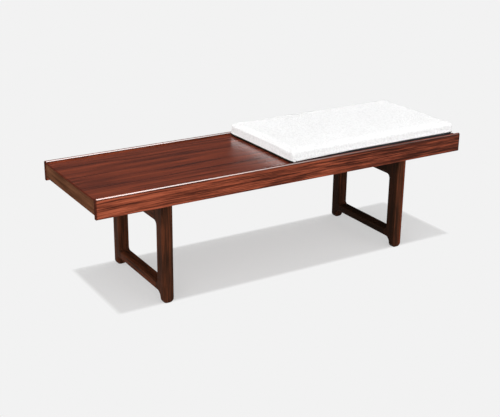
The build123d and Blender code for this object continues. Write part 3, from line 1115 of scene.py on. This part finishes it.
    def _lay(self, pad: bpy.types.Object) -> None:
        """Turns the pad a little about its near left corner and lets its left end run askew.

        Args:
            pad: The sewn pad, put down by hand.
        """
        corner = Vector((self.low.x, self.low.y, 0.0))
        turn = Matrix.Rotation(self.askew, 4, "Z")
        pad.data.transform(Matrix.Translation(corner) @ turn @ Matrix.Translation(-corner))
        for vertex in pad.data.vertices:
            share = (self.high.x - vertex.co.x) / (self.high.x - self.low.x)
            vertex.co.x -= self.end_skew * share * (vertex.co.y - self.low.y)

    def _sag(self, pad: bpy.types.Object) -> None:
        """Lets the pad hang a little where it reaches past the front and the ends of the base board.

        Args:
            pad: The pad in its place, which stays clear of the back rail.
        """
        board_low, board_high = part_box("base_board")
        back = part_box("back_rail")[0].y - self.rail_room
        for vertex in pad.data.vertices:
            place = vertex.co
            past = max(board_low.x - place.x, place.x - board_high.x, board_low.y - place.y, 0.0)
            depth = (self.high.z - place.z) / (self.high.z - self.low.z)
            room = (back - place.y) / self.rail_fade
            share = max(depth, 0.0) * min(max(room, 0.0), 1.0)
            place.z -= min(self.end_sag, past * self.sag_slope) * share


@dataclass
class Studio:
    """Floor, light and camera of the photograph. Camera angles and the sun's width are in degrees."""

    floor_reach: float = 300.0
    floor_cells: int = 8
    floor_finish: FloorFinish = FloorFinish()
    picture_width: int = 500
    sensor: float = 36.0
    focal_pixels: float = 989.15
    camera_place: Point = (-1.47584, -2.33876, 1.19442)
    camera_heading: float = -31.53
    camera_dip: float = 20.73
    camera_roll: float = 0.71
    camera_reach: float = 200.0
    sun_strength: float = 0.78
    sun_angle: float = 7.0
    sun_way: Point = (0.10, 0.03, -1.0)
    sun_height: float = 3.0
    low_sky: float = 0.03
    high_sky: float = 0.20
    high_step: Span = (0.35, 1.00)
    front_sky: float = 0.84
    front_way: Point = (-0.20, -0.95, 0.05)
    left_sky: float = 0.97
    left_way: Point = (-0.93, -0.23, 0.22)
    right_sky: float = 0.50
    right_way: Point = (0.85, -0.50, 0.10)
    lamp_edges: Span = (0.20, 0.90)
    strip_sky: float = 6.0
    strip_start: Span = (0.22, 0.28)
    strip_end: Span = (0.38, 0.62)
    strip_middle: float = 0.10
    strip_half: Span = (0.06, 0.10)
    strip_rise: Span = (0.0, 0.2)

    def build(self) -> None:
        """Sets up everything round the object."""
        self._floor()
        self._sun()
        self._sky()
        self._camera()
        bpy.context.scene.view_settings.view_transform = "Standard"

    def _floor(self) -> None:
        """Lays the floor as a plain net of faces."""
        mesh = bpy.data.meshes.new("studio_floor")
        shape = bmesh.new()
        cells = self.floor_cells
        bmesh.ops.create_grid(shape, x_segments=cells, y_segments=cells, size=self.floor_reach)
        shape.to_mesh(mesh)
        shape.free()
        floor = bpy.data.objects.new("studio_floor", mesh)
        bpy.context.collection.objects.link(floor)
        floor.data.materials.append(self.floor_finish.material())

    def _sun(self) -> None:
        """Hangs the broad overhead light that casts the floor shadow."""
        lamp = bpy.data.lights.new("overhead_light", "SUN")
        lamp.energy = self.sun_strength
        lamp.angle = math.radians(self.sun_angle)
        overhead = bpy.data.objects.new("overhead_light", lamp)
        overhead.rotation_mode = "QUATERNION"
        overhead.rotation_quaternion = Vector(self.sun_way).to_track_quat("-Z", "Y")
        overhead.location = (0.0, 0.0, self.sun_height)
        bpy.context.collection.objects.link(overhead)

    def _sky(self) -> None:
        """Sets the soft room light: brighter above, with three broad lamps and a narrow strip."""
        world = bpy.data.worlds.new("studio_light")
        world.use_nodes = True
        graph = NodeGraph(world.node_tree)
        way = graph.node("ShaderNodeTexCoord").out("Generated")
        x, y, z = graph.axes(way)
        light = self.low_sky + z.step(*self.high_step) * self.high_sky
        length = x.step(*self.strip_start) * (1.0 - x.step(*self.strip_end))
        width = 1.0 - abs(y - self.strip_middle).step(*self.strip_half)
        light = light + length * width * z.step(*self.strip_rise) * self.strip_sky
        lamps = (
            (self.front_sky, self.front_way), (self.left_sky, self.left_way), (self.right_sky, self.right_way)
        )
        for strength, towards in lamps:
            inputs = {0: way, 1: Vector(towards).normalized()}
            facing = graph.node("ShaderNodeVectorMath", {"operation": "DOT_PRODUCT"}, inputs).out("Value")
            light = light + facing.step(*self.lamp_edges) * strength
        tint = graph.point(light, light, light)
        seen = graph.node("ShaderNodeLightPath").out("Is Camera Ray")
        shown = graph.mix(seen, tint, rgba(self.floor_finish.tone))
        backdrop = graph.node("ShaderNodeBackground", None, {"Color": shown, "Strength": 1.0})
        graph.node("ShaderNodeOutputWorld", None, {"Surface": backdrop})
        bpy.context.scene.world = world

    def _camera(self) -> None:
        """Places the camera where the photograph was taken from."""
        data = bpy.data.cameras.new("photo_camera")
        data.sensor_fit = "HORIZONTAL"
        data.sensor_width = self.sensor
        data.lens = self.focal_pixels * self.sensor / self.picture_width
        data.clip_end = self.camera_reach
        camera = bpy.data.objects.new("photo_camera", data)
        turn = (
            Matrix.Rotation(math.radians(self.camera_heading), 4, "Z")
            @ Matrix.Rotation(math.radians(90.0 - self.camera_dip), 4, "X")
            @ Matrix.Rotation(math.radians(self.camera_roll), 4, "Z")
        )
        camera.matrix_world = Matrix.Translation(self.camera_place) @ turn
        bpy.context.collection.objects.link(camera)
        bpy.context.scene.camera = camera


def main() -> None:
    """Builds and dresses the bench, sub-assembly by sub-assembly."""
    logging.basicConfig(level=logging.INFO, format="%(message)s")
    TopTray().dress()
    LegFrames().dress()
    SeatBase().dress()
    Cushion().build()
    Studio().build()


if __name__ == "__main__":
    main()
